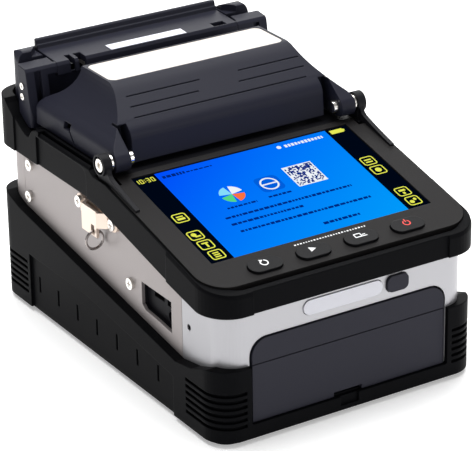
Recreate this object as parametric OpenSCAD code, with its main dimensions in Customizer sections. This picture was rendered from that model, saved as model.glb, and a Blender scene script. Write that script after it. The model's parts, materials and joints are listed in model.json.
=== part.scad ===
// Fiber fusion splicer: a portable unit with a tilted screen, a wind cover over the splicing bay,
// a tube heater behind the cover and a battery that slides into the front.
// Millimetres, +Z up, the battery face looks along -Y.
// The origin is the centre of the footprint, on the plane that the feet rest on.

/* [Sub-part] */
// Sub-part to draw, or "all"

/* [Sheet metal body] */
// Half width of the sheet metal body
body_half_w = 60.5; // [56:0.5:64]
// Distance from the origin to the front and rear metal faces
body_half_l = 91; // [85:0.5:95]
// Radius of the vertical metal corners
body_r = 11; // [8:0.5:14]
// Thickness of the sheet metal
sheet_t = 1.5; // [1:0.1:2.5]
// Y of the front seam between wrap and side plate
front_seam_y = -59; // [-70:1:-50]
// Y of the rear seam between wrap and side plate
rear_seam_y = 75; // [65:1:80]

/* [Screen panel] */
// Tilt of the screen panel in degrees
panel_tilt = 13; // [5:0.5:20]
// Y of the centre of the screen
panel_y = -40.9; // [-45:0.1:-35]
// Z of the centre of the screen, on the panel surface
panel_z = 81; // [75:0.1:85]
// Width of the display
lcd_w = 108; // [100:0.5:115]
// Height of the display
lcd_l = 64.8; // [60:0.2:70]
// Half width of the panel
bezel_half_w = 65; // [63:0.5:66]
// Thickness of the panel
bezel_t = 2.6; // [2:0.1:4]
// Distance from the screen centre to the front edge of the panel
bezel_front = 49.5; // [48:0.5:50]
// Distance from the screen centre to the rear edge of the panel
bezel_rear = 36; // [35:0.5:37]

/* [Keys] */
// X of the outer keys
key_outer_x = 35; // [33:0.5:38]
// X of the inner keys
key_inner_x = 11.7; // [10:0.1:13]
// Distance of the keys in front of the screen centre
key_v = -42.3; // [-43:0.1:-42]
// Length of a key
key_w = 15.6; // [14:0.2:17]
// Depth of a key
key_l = 8; // [7:0.2:9]
// How far a key can be pressed
key_travel = 0.9; // [0.5:0.1:1.2]

/* [Rubber boot and bumper] */
// Half width of the lower boot
boot_half_w = 65; // [63:0.5:66]
// Distance from the origin to the front of the boot
boot_front = 93; // [92:0.5:94]
// Distance from the origin to the rear of the boot
boot_rear = 94.2; // [92.5:0.1:96]
// Thickness of the boot floor
boot_floor_t = 3; // [2:0.5:4]
// Height of the feet
foot_h = 2; // [1:0.5:3]
// Half width of the upper bumper
bumper_half_w = 66.5; // [65.5:0.5:68]
// Distance from the origin to the front of the bumper
bumper_front = 94.2; // [93:0.1:96]
// Distance from the origin to the rear of the bumper
bumper_rear = 92.5; // [92:0.5:94]

/* [Wind cover] */
// Y of the cover hinge
hinge_y = -3.5; // [-6:0.5:0]
// Z of the cover hinge
hinge_z = 95; // [93:0.5:97]
// Radius of the hinge pin
hinge_pin_r = 2; // [1.5:0.1:2.4]
// Radial play of the cover on its pins
hinge_play = 0.06; // [0.02:0.01:0.1]
// Wall thickness of the cover
cover_t = 2.2; // [1.6:0.1:3]
// Z of the lower edge of the cover
cover_z0 = 91.2; // [91.1:0.1:93]
// Z of the top of the cover
cover_z1 = 119.3; // [119.2:0.1:120]
// Length of the light pad on top of the cover
strip_l = 87.6; // [80:0.2:88]
// Width of the light pad on top of the cover
strip_w = 22; // [16:0.5:22]
// Z of the underside of the light pad
strip_z = 117.9; // [117.7:0.1:118]

/* [Splicing bay] */
// Y of the fibre line
fibre_y = 34; // [33:0.5:36]
// Z of the fibre line
fibre_z = 98; // [97:0.1:98.5]
// How far each fibre stage can travel towards the middle
stage_travel = 3; // [1:0.5:4]

/* [Tube heater] */
// Half width of the heater housing
housing_half_w = 62.2; // [61:0.1:63]
// Y of the front edge of the heater lid
heater_y0 = 66.2; // [66:0.1:66.4]
// Z of the heater hinge
heater_hinge_z = 113.6; // [112:0.1:115]
// Y of the heater hinge
heater_hinge_y = 87.5; // [86:0.1:88]
// Y of the splice sleeve in the heater
sleeve_y = 75; // [74:0.5:76]

/* [Battery] */
// Half width of the battery
battery_half_w = 47.6; // [44:0.2:48]
// Length of the battery
battery_l = 104; // [90:1:110]
// Z of the underside of the battery
battery_z0 = 8.4; // [8.2:0.1:9]
// Z of the top of the battery
battery_z1 = 45.2; // [44:0.1:46]

/* [Hidden] */
$fn = 48;
chassis_half_w = body_half_w - sheet_t;
chassis_half_l = body_half_l - sheet_t;
chassis_r = body_r - sheet_t;
chassis_z0 = foot_h + boot_floor_t;
sheet_z0 = chassis_z0 + 0.5;
wall = 2.5;
panel_slope = tan(panel_tilt);
// The top shell is this much deeper than the panel surface, measured upright.
shell_drop = 9;
rear_seam_z = 82;
deck_z = 88.6;
deck_y0 = -4.9;
bumper_rear_z = 76;
bumper_front_z = 57.8;
bumper_top_z = 92.2;
// How far the top and the outer foot of the bumper's rim lie below the panel surface.
rim_drop = 0.8;
rim_slope_drop = 2.4;
// Inner face of the thin rim beside the splicing bay.
bay_rim_x = 61.9;
shell_top_drop = bezel_t / cos(panel_tilt) + 0.05;
// Gap between the rubber parts and the metal inside them.
rubber_gap = 0.05;
bay_y1 = battery_l - body_half_l;
pocket_z = 84.6;
arch_half_w = 48.6;
arch_z = 45.8;
arch_r = 8;
led_x = -3.2;
led_z = 52.5;
led_w = 38.9;
led_h = 6.6;
latch_x = 23.6;
latch_z = 52.4;
latch_w = 10.5;
latch_h = 7.2;
screw_r = 1.25;
screw_head_r = 2.6;
side_screw_yz = [[69, 69], [70.5, 53.5], [-18.2, 45.4]];
bracket_screw_yz = [[21.5, 69.2], [-6.4, 68.2]];
wrap_screw_yz = [-64.4, 43.8];
lug_x0 = 53;
// Inner end of the pockets beside the lugs.
pocket_x0 = 48.2;
washer_t = 1.4;
strip_y = 34.35;
boss_x0 = body_half_w + washer_t;
boss_x1 = bumper_half_w - 0.5;
boss_r = 4.7;
// Depth of the recess for the pin head in the outer face of the boss.
boss_recess = 1.6;
lug_r = 5;
bracket_x = 66.2;
bracket_t = 1.4;
bracket_z0 = 60.3;
bridge_y0 = 0.4;
bridge_y1 = 12.9;
// Height of the window in the bracket, enough for the ring to swing up through it.
bracket_window_h = 4.7;
ring_x = bracket_x - bracket_t / 2;
ring_y = 3.5;
ring_r = 4.1;
ring_wire_r = 0.6;
// The ring turns about the middle of the strip that it hangs on.
ring_pivot_z = bracket_z0 + bracket_t / 2;
ring_z = ring_pivot_z - 2.45;
housing_y0 = 62.7;
housing_screw_y = 69.7;
housing_screw_z = [101.4, 106.3];
// The rear part of the housing, behind ledge_y1, is narrower than its front part.
housing_rear_half_w = 59.5;
ledge_y1 = 73.8;
ledge_z = 115.3;
ear_y0 = 77.6;
// Half width of the heater lid, and of its opening in the housing.
lid_half_w = 46.45;
lid_opening_half_w = 46.6;
lid_skirt_z = 109.2;
lid_underside_z = 111.9;
lid_z0 = 114.7;
lid_z1 = 115.6;
stage_x0 = 21;
stage_x1 = 43;
// Height of the switch domes under the keys, measured from the panel surface.
dome_z = -7.4;

// Height of the panel surface above a point y.
function panel_height(y) = panel_z + (y - panel_y) * panel_slope;

// Height of the joint between the lower body and the top shell.
function seam_height(y) = min(panel_height(y) - shell_drop, rear_seam_z);

// Height of the sloping upper edge of the boot.
function boot_height(y) = 28 + (y - front_seam_y) * 0.15;

// Points of a smooth curve from a to d that leaves towards b and arrives from c.
function curve(a, b, c, d, steps = 8) = [
    for (i = [0 : steps])
        let (t = i / steps)
            pow(1 - t, 3) * a + 3 * pow(1 - t, 2) * t * b + 3 * (1 - t) * t * t * c + pow(t, 3) * d
];

// Puts children at the same place on the left (-1) and right (1) side.
module both_sides() {
    for (side = [-1, 1])
        scale([side, 1, 1])
            children();
}

// Rounded footprint that runs from y0 to y1.
module footprint(half_w, y0, y1, r_front, r_rear) {
    hull()
        for (side = [-1, 1]) {
            translate([side * (half_w - r_front), y0 + r_front])
                circle(r_front);
            translate([side * (half_w - r_rear), y1 - r_rear])
                circle(r_rear);
        }
}

// Extrudes a side view, drawn as [y, z], symmetrically along X.
module side_view(half_w) {
    rotate([90, 0, 90])
        translate([0, 0, -half_w])
            linear_extrude(2 * half_w)
                children();
}

// Extrudes a front view, drawn as [x, z], from y0 to y1.
module front_view(y0, y1) {
    translate([0, y1, 0])
        rotate([90, 0, 0])
            linear_extrude(y1 - y0)
                children();
}

// Moves children to the screen centre, with Z along the panel's outward normal.
module on_panel() {
    translate([0, panel_y, panel_z])
        rotate([panel_tilt, 0, 0])
            children();
}

// Flat slot or pill, l long along X and w wide.
module pill(l, w) {
    hull()
        for (side = [-1, 1])
            translate([side * (l - w) / 2, 0])
                circle(w / 2);
}

// Plate centred on the origin with rounded corners.
module plate_shape(l, w, r) {
    offset(r)
        square([l - 2 * r, w - 2 * r], center = true);
}

// Cylinder along X from x0 to x1 at height z and depth y.
module rod_x(x0, x1, y, z, r) {
    translate([x0, y, z])
        rotate([0, 90, 0])
            cylinder(h = x1 - x0, r = r);
}

// Side view of everything below the joint with the top shell.
module below_seam() {
    knee_y = panel_y + (rear_seam_z + shell_drop - panel_z) / panel_slope;
    polygon([
        [-100, 0],
        [100, 0],
        [100, rear_seam_z],
        [knee_y, rear_seam_z],
        [-100, seam_height(-100)]
    ]);
}

// Arched opening from z0 to z1 with rounded upper corners.
module battery_arch(half_w, z0, z1, r) {
    hull() {
        translate([-half_w, z0])
            square([2 * half_w, 1]);
        for (side = [-1, 1])
            translate([side * (half_w - r), z1 - r])
                circle(r);
    }
}

module led_hole(gap) {
    translate([led_x, led_z])
        pill(led_w + 2 * gap, led_h + 2 * gap);
}

module latch_hole(gap) {
    translate([latch_x, latch_z])
        plate_shape(latch_w + 2 * gap, latch_h + 2 * gap, 2.6);
}

// Outline of the socket opening in the left side, drawn as [y, z].
module port_shape() {
    polygon([
        [-26.6, 49.6],
        [-26.6, 39.4],
        [-29.4, 37.4],
        [-38, 36.9],
        [-50.6, 35.4],
        [-50.6, 49.6]
    ]);
}

// The socket opening as a solid from x0 to x1, smaller all round by shrink.
module port_prism(x0, x1, shrink) {
    translate([x0, 0, 0])
        rotate([90, 0, 90])
            linear_extrude(x1 - x0)
                offset(delta = -shrink)
                    port_shape();
}

// Side screws as holes of radius r that run from x0 to x1.
module side_screw_holes(x0, x1, r) {
    both_sides()
        for (p = concat(side_screw_yz, bracket_screw_yz))
            rod_x(x0, x1, p[0], p[1], r);
}

// Front corner screws as holes of radius r that run from x0 to x1.
module wrap_screw_holes(x0, x1, r) {
    both_sides()
        rod_x(x0, x1, wrap_screw_yz[0], wrap_screw_yz[1], r);
}

module chassis() {
    color([0.13, 0.13, 0.14])
        difference() {
            intersection() {
                linear_extrude(100)
                    footprint(chassis_half_w, -chassis_half_l, chassis_half_l, chassis_r, chassis_r);
                side_view(chassis_half_w)
                    below_seam();
                translate([-100, -100, chassis_z0])
                    cube([200, 200, 100]);
            }
            // Battery bay, open at the front.
            front_view(-100, bay_y1)
                battery_arch(arch_half_w - 0.4, battery_z0 - 0.2, arch_z - 0.2, arch_r);
            // Space for the boards above the bay.
            translate([0, 0, arch_z + wall])
                linear_extrude(100)
                    footprint(chassis_half_w - wall, wall - chassis_half_l, chassis_half_l - wall, 7, 7);
            // Space for the boards behind the bay.
            translate([0, 0, chassis_z0 + wall])
                linear_extrude(100)
                    footprint(chassis_half_w - wall, bay_y1 + wall, chassis_half_l - wall, 3, 7);
            // Openings behind the lamp, the latch button and the sockets.
            front_view(-100, wall - chassis_half_l + 1) {
                led_hole(0.3);
                latch_hole(0.3);
            }
            port_prism(-100, -51, 0);
            side_screw_holes(50, 100, screw_r + 0.05);
            wrap_screw_holes(50, 100, screw_r + 0.05);
            battery_contact_shapes(0.05);
        }
}

// Corner blocks of the boot or bumper, as square regions seen from above.
module corner_regions(x_in, y_in) {
    for (sx = [-1, 1])
        for (sy = [-1, 1])
            scale([sx, sy])
                translate([x_in, y_in])
                    square([40, 60]);
}

module boot() {
    rib_z = [for (i = [0 : 5]) 8.6 + 2.95 * i];
    color([0.1, 0.1, 0.11])
        difference() {
            intersection() {
                translate([0, 0, foot_h])
                    linear_extrude(60)
                        footprint(boot_half_w, -boot_front, boot_rear, 11.5, 11.5);
                // Sloping rim, raised again at the front corners.
                side_view(100)
                    polygon([
                        [-100, 0],
                        [100, 0],
                        [100, 52],
                        [86, 52],
                        [74, boot_height(74)],
                        [front_seam_y - 1, boot_height(front_seam_y - 1)],
                        [-73, 30],
                        [-84, 34],
                        [-100, 34.4]
                    ]);
            }
            // Room for the metal body.
            translate([0, 0, chassis_z0])
                linear_extrude(100)
                    offset(rubber_gap)
                        footprint(body_half_w, -body_half_l, body_half_l, body_r, body_r);
            // Mouth for the battery.
            front_view(-100, -80)
                translate([0, 50])
                    plate_shape(2 * arch_half_w + 0.4, 2 * (50 - battery_z0 + 0.2), 1);
            // Finger notch under the battery.
            translate([-1, -boot_front, foot_h + 4.6])
                cube([9, 2, 5], center = true);
            // Recessed side panels with short upright grooves.
            both_sides() {
                translate([boot_half_w - 1.2, 0, 0])
                    rotate([90, 0, 90])
                        linear_extrude(5)
                            polygon([
                                [-58, -1],
                                [66, -1],
                                [66, 28],
                                [12, 28],
                                [-58, boot_height(-58) - 8]
                            ]);
                for (i = [0 : 6])
                    translate([boot_half_w - 1.8, -45 + 17.2 * i, 11.5])
                        cube([5, 1.6, 7.5]);
            }
            // Horizontal grip grooves round the four corners.
            for (z = rib_z)
                translate([0, 0, z - 0.75])
                    linear_extrude(1.5)
                        difference() {
                            intersection() {
                                footprint(80, -100, 100, 5, 5);
                                corner_regions(51, 68);
                            }
                            footprint(boot_half_w - 1.3, 1.3 - boot_front, boot_rear - 1.3, 10.2, 10.2);
                        }
        }
}

module feet() {
    color([0.07, 0.07, 0.08])
        for (sx = [-1, 1])
            for (sy = [-1, 1])
                translate([sx * 54.5, sy * 82, 0])
                    cylinder(h = foot_h, r1 = 7.4, r2 = 8.6);
}

// One side plate; side is -1 for left and 1 for right.
module side_plate(side) {
    difference() {
        intersection() {
            side_view(body_half_w)
                intersection() {
                    below_seam();
                    translate([front_seam_y + 0.1, sheet_z0])
                        square([rear_seam_y - front_seam_y - 0.2, 100]);
                }
            translate([side > 0 ? chassis_half_w : -body_half_w, -100, 0])
                cube([sheet_t, 200, 100]);
        }
        side_screw_holes(50, 70, screw_r + 0.1);
        if (side < 0)
            port_prism(-70, -50, 0);
    }
}

module side_plate_left() {
    color([0.68, 0.65, 0.62])
        side_plate(-1);
}

module side_plate_right() {
    color([0.68, 0.65, 0.62])
        side_plate(1);
}

// Bent sheet that follows the body outline, kept only where y0 < y < y1.
module wrap_sheet(y0, y1) {
    intersection() {
        translate([0, 0, sheet_z0])
            linear_extrude(100)
                difference() {
                    footprint(body_half_w, -body_half_l, body_half_l, body_r, body_r);
                    footprint(chassis_half_w, -chassis_half_l, chassis_half_l, chassis_r, chassis_r);
                }
        side_view(100)
            intersection() {
                below_seam();
                translate([y0, 0])
                    square([y1 - y0, 200]);
            }
    }
}

module front_wrap() {
    color([0.86, 0.86, 0.87])
        difference() {
            wrap_sheet(-100, front_seam_y - 0.1);
            front_view(-100, -80) {
                battery_arch(arch_half_w, 0, arch_z, arch_r);
                led_hole(0.2);
                latch_hole(0.2);
            }
            wrap_screw_holes(50, 70, screw_r + 0.1);
        }
}

module rear_panel() {
    color([0.68, 0.65, 0.62])
        wrap_sheet(rear_seam_y + 0.1, 100);
}

// Side view of the top shell: sloping under the panel, level under the bay and the heater.
module top_shell_side() {
    difference() {
        polygon([
            [-100, 0],
            [100, 0],
            [100, deck_z],
            [deck_y0, deck_z],
            [deck_y0, panel_height(deck_y0) - shell_top_drop],
            [-100, panel_height(-100) - shell_top_drop]
        ]);
        below_seam();
    }
}

module top_shell() {
    color([0.12, 0.12, 0.13])
        difference() {
            intersection() {
                translate([0, 0, 40])
                    linear_extrude(60)
                        footprint(body_half_w, -body_half_l, body_half_l, body_r, body_r);
                side_view(100)
                    top_shell_side();
            }
            on_panel() {
                // Opening for the display.
                cube([118.4, 70.4, 40], center = true);
                // Key holes and the room for the key board.
                for (x = [-key_outer_x, -key_inner_x, key_inner_x, key_outer_x])
                    translate([x, key_v, -20])
                        linear_extrude(40)
                            pill(key_w + 2.8, key_l + 2.8);
                translate([-47, key_v - 6, -20])
                    cube([94, 12, 12.2]);
            }
            // Splicing bay and its through opening for the optics.
            translate([0, 32, pocket_z])
                linear_extrude(20)
                    plate_shape(104, 50, 4);
            translate([0, fibre_y, 70])
                linear_extrude(40)
                    plate_shape(30, 26, 2);
        }
}

// Side view of the bumper: lower edge, upper edge and the raised rear corners.
module bumper_side() {
    polygon([
        [-100, bumper_front_z],
        [-80, bumper_front_z + 0.8],
        [-60, bumper_front_z + 4.5],
        [0, bumper_rear_z - 0.4],
        [4, bumper_rear_z],
        [100, bumper_rear_z],
        [100, 98.6],
        [79.4, 98.6],
        [77.5, 96.6],
        [74, 93.8],
        [70.8, 91.4],
        [66, 88.6],
        [62.5, 87],
        [60.4, 86.8],
        [58.7, 87.1],
        [57.4, 88.9],
        [56.3, 90.2],
        [54.6, 91.3],
        [52, 92],
        [48.5, bumper_top_z],
        [6.5, bumper_top_z],
        [5.4, 89.8],
        [2.6, 88],
        [-8, panel_height(-8) - rim_drop / cos(panel_tilt)],
        [-100, panel_height(-100) - rim_drop / cos(panel_tilt)]
    ]);
}

// Everything above the outward slope of the bumper's rim round the screen panel.
module above_rim_slope() {
    on_panel()
        difference() {
            translate([-100, -100, -rim_slope_drop])
                cube([200, 130, 10]);
            hull() {
                translate([0, 2.35, -rim_slope_drop - 0.1])
                    linear_extrude(0.1)
                        plate_shape(2 * bumper_half_w, 115.3, 14.5);
                translate([0, 3.4, -rim_drop])
                    linear_extrude(2)
                        plate_shape(2 * bumper_half_w - 2.2, 113.2, 13.4);
            }
        }
}

// Recess in the bumper side, drawn as [y, z], with a rounded upper front corner.
module recessed_panel() {
    polygon(concat(
        [[8.4, 70]],
        curve([8.4, 84.8], [8.4, 87.3], [10.4, 89.3], [12.9, 89.3]),
        [[52.4, 89.3], [52.4, 70]]
    ));
}

module bumper() {
    color([0.1, 0.1, 0.11])
        difference() {
            intersection() {
                translate([0, 0, 40])
                    linear_extrude(80)
                        footprint(bumper_half_w, -bumper_front, bumper_rear, 14.5, 13.5);
                side_view(100)
                    bumper_side();
            }
            translate([0, 0, 30])
                linear_extrude(100)
                    offset(rubber_gap)
                        footprint(body_half_w, -body_half_l, body_half_l, body_r, body_r);
            translate([0, 0, deck_z - 0.1])
                linear_extrude(50)
                    offset(rubber_gap)
                        housing_footprint();
            above_rim_slope();
            // Seat of the screen panel.
            on_panel()
                translate([0, 0, -bezel_t - rubber_gap])
                    linear_extrude(10)
                        offset(delta = 0.1)
                            bezel_shape();
            // The middle of the front stands back between the corner pads.
            translate([-48, -bumper_front - 1, 0])
                cube([96, 1.8, 200]);
            // The rear is lower between the rear corner pads.
            translate([-46, 80, deck_z])
                cube([92, 40, 40]);
            both_sides() {
                // The sides stand back between the corner pads.
                translate([bumper_half_w - 0.6, -57, 0])
                    cube([5, 129, 200]);
                // Recessed panel beside the splicing bay.
                translate([bumper_half_w - 1.4, 0, 0])
                    rotate([90, 0, 90])
                        linear_extrude(5)
                            recessed_panel();
                // Gap between the bay and its thin rim.
                translate([body_half_w - 1, 5.5, deck_z + 0.1])
                    cube([bay_rim_x - body_half_w + 1, 51.5, 20]);
                // Groove outside the rim, and the rounded slope beyond it.
                front_view(5.5, 50)
                    polygon([
                        [bay_rim_x + 0.9, 93],
                        [bay_rim_x + 0.9, deck_z],
                        [64.2, deck_z],
                        [64.2, 91.1],
                        [65.2, 90.7],
                        [66, 89.8],
                        [67, 89.4],
                        [67, 93]
                    ]);
                // Seat of the hinge bracket and the foot of its arm.
                translate([body_half_w - 1, -12, 76])
                    cube([5.3, 14.5, 40]);
                // Room for the heads of the bracket and side screws.
                for (p = bracket_screw_yz)
                    rod_x(body_half_w - 1, body_half_w + 3.2, p[0], p[1], screw_head_r + 0.3);
            }
        }
}

module bezel_shape() {
    difference() {
        translate([0, (bezel_rear - bezel_front) / 2])
            square([2 * bezel_half_w, bezel_rear + bezel_front], center = true);
        // Rounded front corners.
        for (side = [-1, 1])
            scale([side, 1])
                translate([bezel_half_w - 13, -bezel_front - 1])
                    difference() {
                        square([20, 14]);
                        translate([0, 14])
                            circle(13, $fn = 96);
                    }
        // Notches beside the hinges.
        for (side = [-1, 1])
            scale([side, 1])
                translate([59.6, 30])
                    square([20, 20]);
    }
}

module bezel() {
    color([0.2, 0.19, 0.19])
        on_panel()
            difference() {
                translate([0, 0, -bezel_t])
                    linear_extrude(bezel_t)
                        bezel_shape();
                cube([lcd_w + 0.4, lcd_l + 0.4, 20], center = true);
                for (x = [-key_outer_x, -key_inner_x, key_inner_x, key_outer_x])
                    translate([x, key_v, -10])
                        linear_extrude(20)
                            pill(key_w + 0.4, key_l + 0.4);
            }
}

module lcd_module() {
    color([0.05, 0.2, 0.75])
        on_panel() {
            translate([-59, -35, -bezel_t - 4.6])
                cube([118, 70, 4.6]);
            translate([-lcd_w / 2, -lcd_l / 2, -bezel_t - 1])
                cube([lcd_w, lcd_l, bezel_t + 0.4]);
        }
}

module key_board() {
    color([0.1, 0.35, 0.2])
        on_panel() {
            translate([-46, key_v - 5.6, -9.4])
                cube([92, 11, 1.6]);
            for (x = [-key_outer_x, -key_inner_x, key_inner_x, key_outer_x])
                translate([x, key_v, dome_z - 0.6])
                    cylinder(h = 0.6, r = 2.6);
        }
}

// One key: cap, retaining flange and stem.
module key(x) {
    color([0.12, 0.12, 0.13])
        on_panel()
            translate([x, key_v, 0]) {
                translate([0, 0, -bezel_t - 0.6])
                    linear_extrude(bezel_t + 1.7)
                        pill(key_w, key_l);
                translate([0, 0, -bezel_t - 1.3])
                    linear_extrude(1.2)
                        pill(key_w + 1.6, key_l + 1.6);
                translate([0, 0, dome_z + key_travel + 0.2])
                    cylinder(h = 4, r = 2);
            }
}

module key_reset() {
    key(-key_outer_x);
}

module key_run() {
    key(-key_inner_x);
}

module key_view() {
    key(key_inner_x);
}

module key_power() {
    key(key_outer_x);
}

module battery() {
    color([0.17, 0.18, 0.2])
        difference() {
            front_view(-body_half_l - 0.6, battery_l - body_half_l - 0.6)
                battery_arch(battery_half_w, battery_z0, battery_z1, arch_r - 0.6);
            // Seam between the two halves of the battery case.
            translate([-60, -body_half_l - 1.6, 34])
                cube([120, 1.5, 0.5]);
            // Finger recess in the underside.
            translate([-8, -body_half_l - 1, battery_z0 - 1])
                cube([14, 6, 3]);
            // Contact slots in the rear end.
            for (i = [-2 : 2])
                translate([8 * i - 1.5, battery_l - body_half_l - 3.6, 20])
                    cube([3, 5, 12]);
        }
}

// Spring contacts in the rear wall of the bay, grown by gap for their slots.
module battery_contact_shapes(gap) {
    for (i = [-2 : 2])
        translate([8 * i - 0.8 - gap, bay_y1 - 2.4, 23 - gap])
            cube([1.6 + 2 * gap, wall + 4.4, 6 + 2 * gap]);
}

module battery_contacts() {
    color([0.8, 0.65, 0.3])
        battery_contact_shapes(0);
}

module battery_latch() {
    color([0.14, 0.15, 0.16]) {
        front_view(-body_half_l - 1.2, 3.4 - chassis_half_l)
            latch_hole(0);
        front_view(3.3 - chassis_half_l, 4.9 - chassis_half_l)
            translate([latch_x, latch_z])
                square([latch_w + 3, latch_h], center = true);
    }
}

module led_bar() {
    color([0.93, 0.93, 0.95])
        front_view(-body_half_l - 0.5, 3 - chassis_half_l)
            led_hole(0);
}

module port_block() {
    color([0.08, 0.08, 0.09])
        difference() {
            port_prism(-57.4, -51, 0.15);
            // Sockets for a data plug, a memory card and the charger.
            translate([-57.4, -36, 45.8])
                cube([9, 8, 2.6], center = true);
            translate([-57.4, -46, 45.8])
                cube([9, 7, 3.6], center = true);
            rod_x(-60, -53, -45.6, 39.8, 2.4);
        }
}

module main_board() {
    board_z = arch_z + wall;
    color([0.08, 0.32, 0.2])
        translate([-50, -70, board_z])
            cube([100, 120, 1.6]);
    color([0.12, 0.12, 0.13]) {
        for (p = [[-20, -30, 16], [18, -20, 20], [-24, 12, 12], [20, 22, 14]])
            translate([p[0], p[1], board_z + 1.6])
                linear_extrude(1.6)
                    square(p[2], center = true);
        for (x = [-36, 36])
            translate([x, 40, board_z + 1.6])
                linear_extrude(6)
                    square([18, 7], center = true);
    }
}

module side_screws() {
    color([0.8, 0.8, 0.8])
        both_sides()
            for (p = side_screw_yz)
                pan_screw(body_half_w, p[0], p[1]);
}

// Pan head screw with a cross recess, its head standing on x and its shank running inwards.
module pan_screw(x, y, z) {
    difference() {
        union() {
            rod_x(x, x + 1.4, y, z, screw_head_r);
            rod_x(x - 5, x + 0.1, y, z, screw_r);
        }
        for (turn = [0, 90])
            translate([x + 1.3, y, z])
                rotate([turn, 0, 0])
                    cube([1.2, 0.6, 2.8], center = true);
    }
}

module wrap_screws() {
    color([0.1, 0.1, 0.1])
        both_sides()
            difference() {
                rod_x(body_half_w - 6, body_half_w - 0.3, wrap_screw_yz[0], wrap_screw_yz[1], screw_r);
                rod_x(body_half_w - 1.3, body_half_w, wrap_screw_yz[0], wrap_screw_yz[1], 0.7);
            }
}

// The bridge of a strap bracket seen from above.
module bridge_outline() {
    foot_x = body_half_w + 0.5;
    polygon([
        [foot_x, bridge_y1 + 3.1],
        [foot_x + bracket_t, bridge_y1 + 3.1],
        [bracket_x, bridge_y1],
        [bracket_x, bridge_y0],
        [foot_x + bracket_t, bridge_y0 - 3.1],
        [foot_x, bridge_y0 - 3.1],
        [foot_x, bridge_y0 - 2.3],
        [bracket_x - bracket_t, bridge_y0 + 0.8],
        [bracket_x - bracket_t, bridge_y1 - 0.8],
        [foot_x, bridge_y1 + 2.3]
    ]);
}

// Strap bracket: two screw ears and a raised face with a window for the ring.
module strap_bracket() {
    difference() {
        union() {
            translate([body_half_w, 0, 0])
                rotate([90, 0, 90])
                    linear_extrude(bracket_t) {
                        for (p = bracket_screw_yz)
                            translate(p)
                                circle(3.4);
                        translate([bracket_screw_yz[1][0], bracket_screw_yz[1][1] - 3.4])
                            square([27.9, 6.8]);
                    }
            // Bridge that stands off the body, with sloping ends.
            translate([0, 0, 65])
                linear_extrude(7)
                    bridge_outline();
            translate([bracket_x - bracket_t, bridge_y0, ring_pivot_z])
                cube([bracket_t, bridge_y1 - bridge_y0, 11.7]);
            // Rolled lower edge that the ring turns on.
            translate([ring_x, bridge_y0, ring_pivot_z])
                rotate([-90, 0, 0])
                    cylinder(h = bridge_y1 - bridge_y0, r = bracket_t / 2);
        }
        for (p = bracket_screw_yz)
            rod_x(50, 64, p[0], p[1], screw_r + 0.1);
        difference() {
            translate([bracket_x - 3, ring_y - 1.5, ring_pivot_z])
                cube([5, 3, bracket_window_h]);
            translate([ring_x, ring_y - 3, ring_pivot_z])
                rotate([-90, 0, 0])
                    cylinder(h = 6, r = bracket_t / 2);
        }
    }
}

module bracket_left() {
    color([0.85, 0.8, 0.72])
        mirror([1, 0, 0])
            strap_bracket();
}

module bracket_right() {
    color([0.85, 0.8, 0.72])
        strap_bracket();
}

module bracket_screws() {
    color([0.8, 0.8, 0.8])
        both_sides()
            for (p = bracket_screw_yz)
                pan_screw(body_half_w + bracket_t, p[0], p[1]);
}

// Wire ring that hangs in the window of its bracket.
module strap_ring(side) {
    color([0.6, 0.6, 0.62])
        translate([side * ring_x, ring_y, ring_z])
            rotate([90, 0, 0])
                rotate_extrude()
                    translate([ring_r, 0])
                        circle(ring_wire_r, $fn = 24);
}

module strap_ring_left() {
    strap_ring(-1);
}

module strap_ring_right() {
    strap_ring(1);
}

// Side view of the arm that sweeps from the hinge boss down onto the panel, drawn as [y, z].
module hinge_arm() {
    polygon([
        [-8.1, 94.2],
        [-8.9, 91.8],
        [-10.6, 90.6],
        [-14.6, 89.2],
        [-20, 87.4],
        [-26, 85.6],
        [-31, 84.15],
        [-31, panel_height(-31) + 0.05],
        [-11.4, panel_height(-11.4) + 0.05],
        [-10.8, 85.2],
        [hinge_y + 3.6, 85.2],
        [hinge_y + 3.6, 95]
    ]);
}

module hinge_brackets() {
    color([0.11, 0.11, 0.12])
        both_sides()
            difference() {
                union() {
                    translate([62.6, 0, 0])
                        rotate([90, 0, 90])
                            linear_extrude(2)
                                hinge_arm();
                    translate([body_half_w, hinge_y - 5.8, 76.2])
                        cube([2.9, 11.6, 9.6]);
                    translate([boss_x0, hinge_y - 3.6, 85])
                        cube([1.5, 7.2, hinge_z - 85]);
                    translate([body_half_w + 0.4, hinge_y - 5.8, 85])
                        cube([2.5, 11.6, 2.9]);
                    rod_x(boss_x0, boss_x1, hinge_y, hinge_z, boss_r);
                }
                rod_x(50, 80, hinge_y, hinge_z, hinge_pin_r);
                rod_x(boss_x1 - boss_recess, 80, hinge_y, hinge_z, 3.9);
            }
}

module hinge_pins() {
    color([0.82, 0.76, 0.62])
        both_sides()
            difference() {
                union() {
                    rod_x(lug_x0 - 0.2, boss_x1 - 0.4, hinge_y, hinge_z, hinge_pin_r);
                    rod_x(boss_x1 - boss_recess, boss_x1 - 0.1, hinge_y, hinge_z, 2.9);
                    rod_x(lug_x0 - 2.6, lug_x0 - 0.1, hinge_y, hinge_z, 3);
                }
                // Hexagonal socket of the key.
                translate([boss_x1 - 1.6, hinge_y, hinge_z])
                    rotate([0, 90, 0])
                        cylinder(h = 5, r = 1.5, $fn = 6);
            }
}

module hinge_washers() {
    color([0.85, 0.85, 0.85])
        both_sides()
            difference() {
                rod_x(body_half_w + 0.05, boss_x0, hinge_y, hinge_z, 3.9);
                rod_x(50, 80, hinge_y, hinge_z, hinge_pin_r + 0.05);
            }
}

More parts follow.
